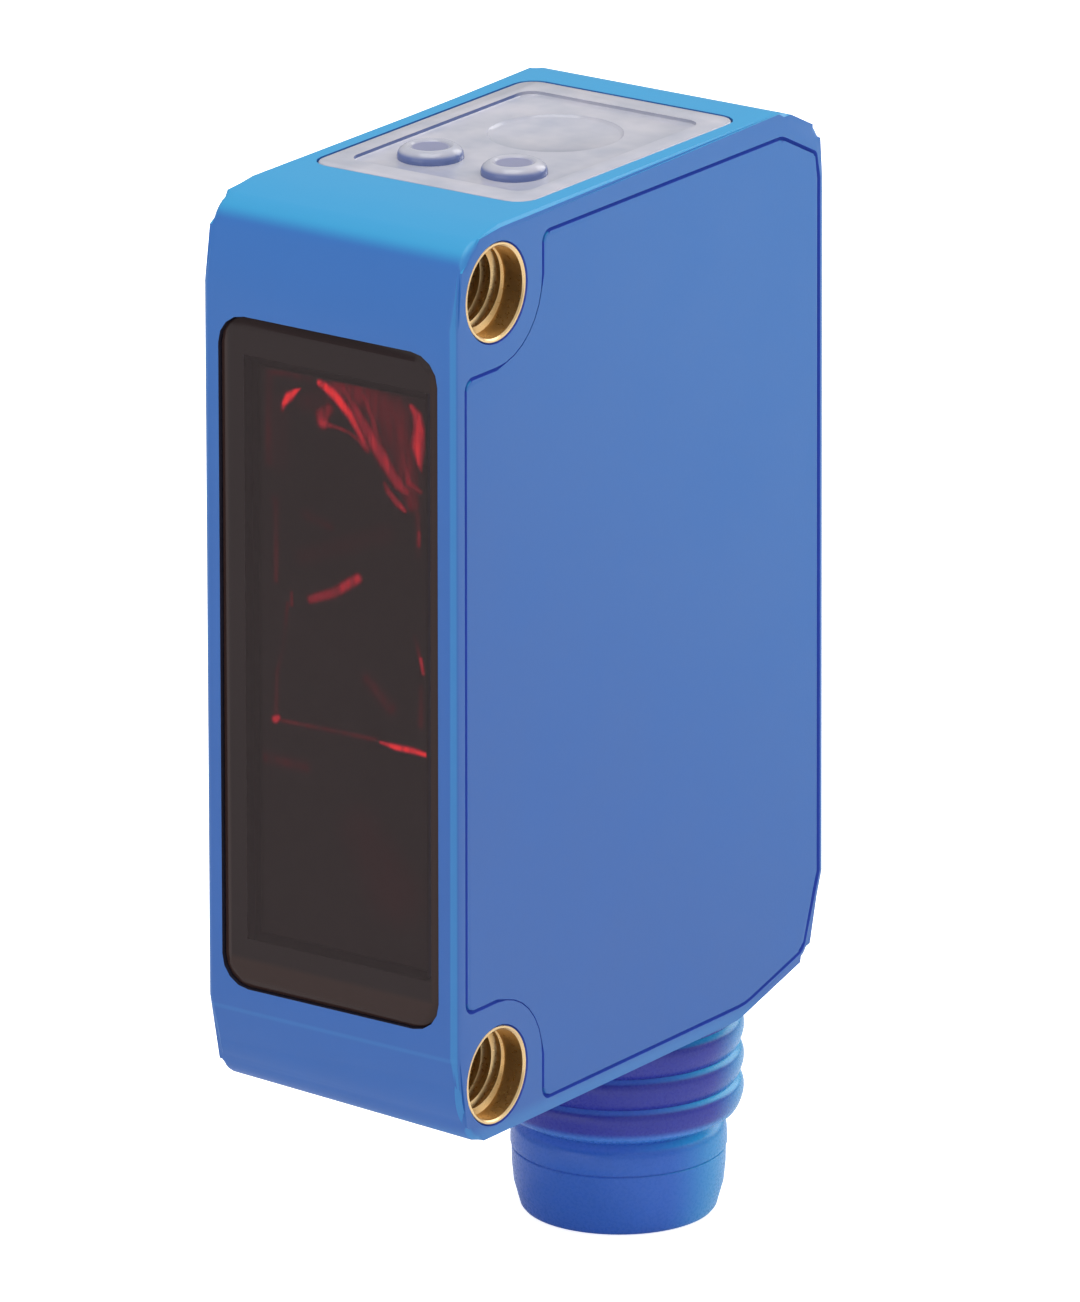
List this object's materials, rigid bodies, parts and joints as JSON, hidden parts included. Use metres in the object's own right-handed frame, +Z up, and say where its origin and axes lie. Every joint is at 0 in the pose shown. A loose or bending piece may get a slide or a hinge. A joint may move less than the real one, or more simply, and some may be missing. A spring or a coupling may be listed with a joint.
{
  "type": "through-beam photoelectric sensor",
  "caption": "Compact blue through-beam photoelectric receiver with a dark red window, clear indicator cover, brass mounting bushes and a short round plug below.",
  "frame": {"origin": "on the flat mounting side, midway between the two mounting bushes", "axes": "+X across the width towards the side cover, -Y out of the window towards the other unit of the pair, +Z up towards the indicator cover, with the plug pointing down"},
  "size_m": [0.0096, 0.0201, 0.037],
  "materials": {
    "housing": "satin blue moulded plastic, finely eroded",
    "plug": "smoother blue moulded plastic",
    "filter": "dark red daylight filter, polished",
    "clear": "clear moulded plastic",
    "lens": "polished lens plastic",
    "brass": "turned brass",
    "seal": "black rubber",
    "insulator": "black moulded plastic",
    "contact": "gold-plated contact",
    "board": "green circuit board",
    "diode": "dark filter resin",
    "shield": "tinned sheet",
    "chip": "black moulding compound",
    "capacitor": "tan block",
    "flex": "amber film",
    "led_green": "green resin",
    "led_yellow": "yellow resin"
  },
  "bodies": {
    "root": {"housing": "housing", "side_cover": "housing", "front_window": "filter", "indicator_cover": "clear", "upper_insert": "brass", "lower_insert": "brass", "connector_shell": "plug", "connector_seal": "seal", "contact_carrier": "insulator", "contact_pin_1": "contact", "contact_pin_2": "contact", "contact_pin_3": "contact", "contact_pin_4": "contact", "connector_board": "board", "optics_lens": "lens", "optics_carrier": "insulator", "optics_board": "board", "receiver_diode": "diode", "main_board": "board", "shield_can": "shield", "receiver_ic": "chip", "control_ic": "chip", "supply_regulator": "chip", "output_driver": "chip", "supply_capacitor": "capacitor", "optics_flex": "flex", "indicator_board": "board", "indicator_led_green": "led_green", "indicator_led_yellow": "led_yellow"}
  },
  "joints": []
}
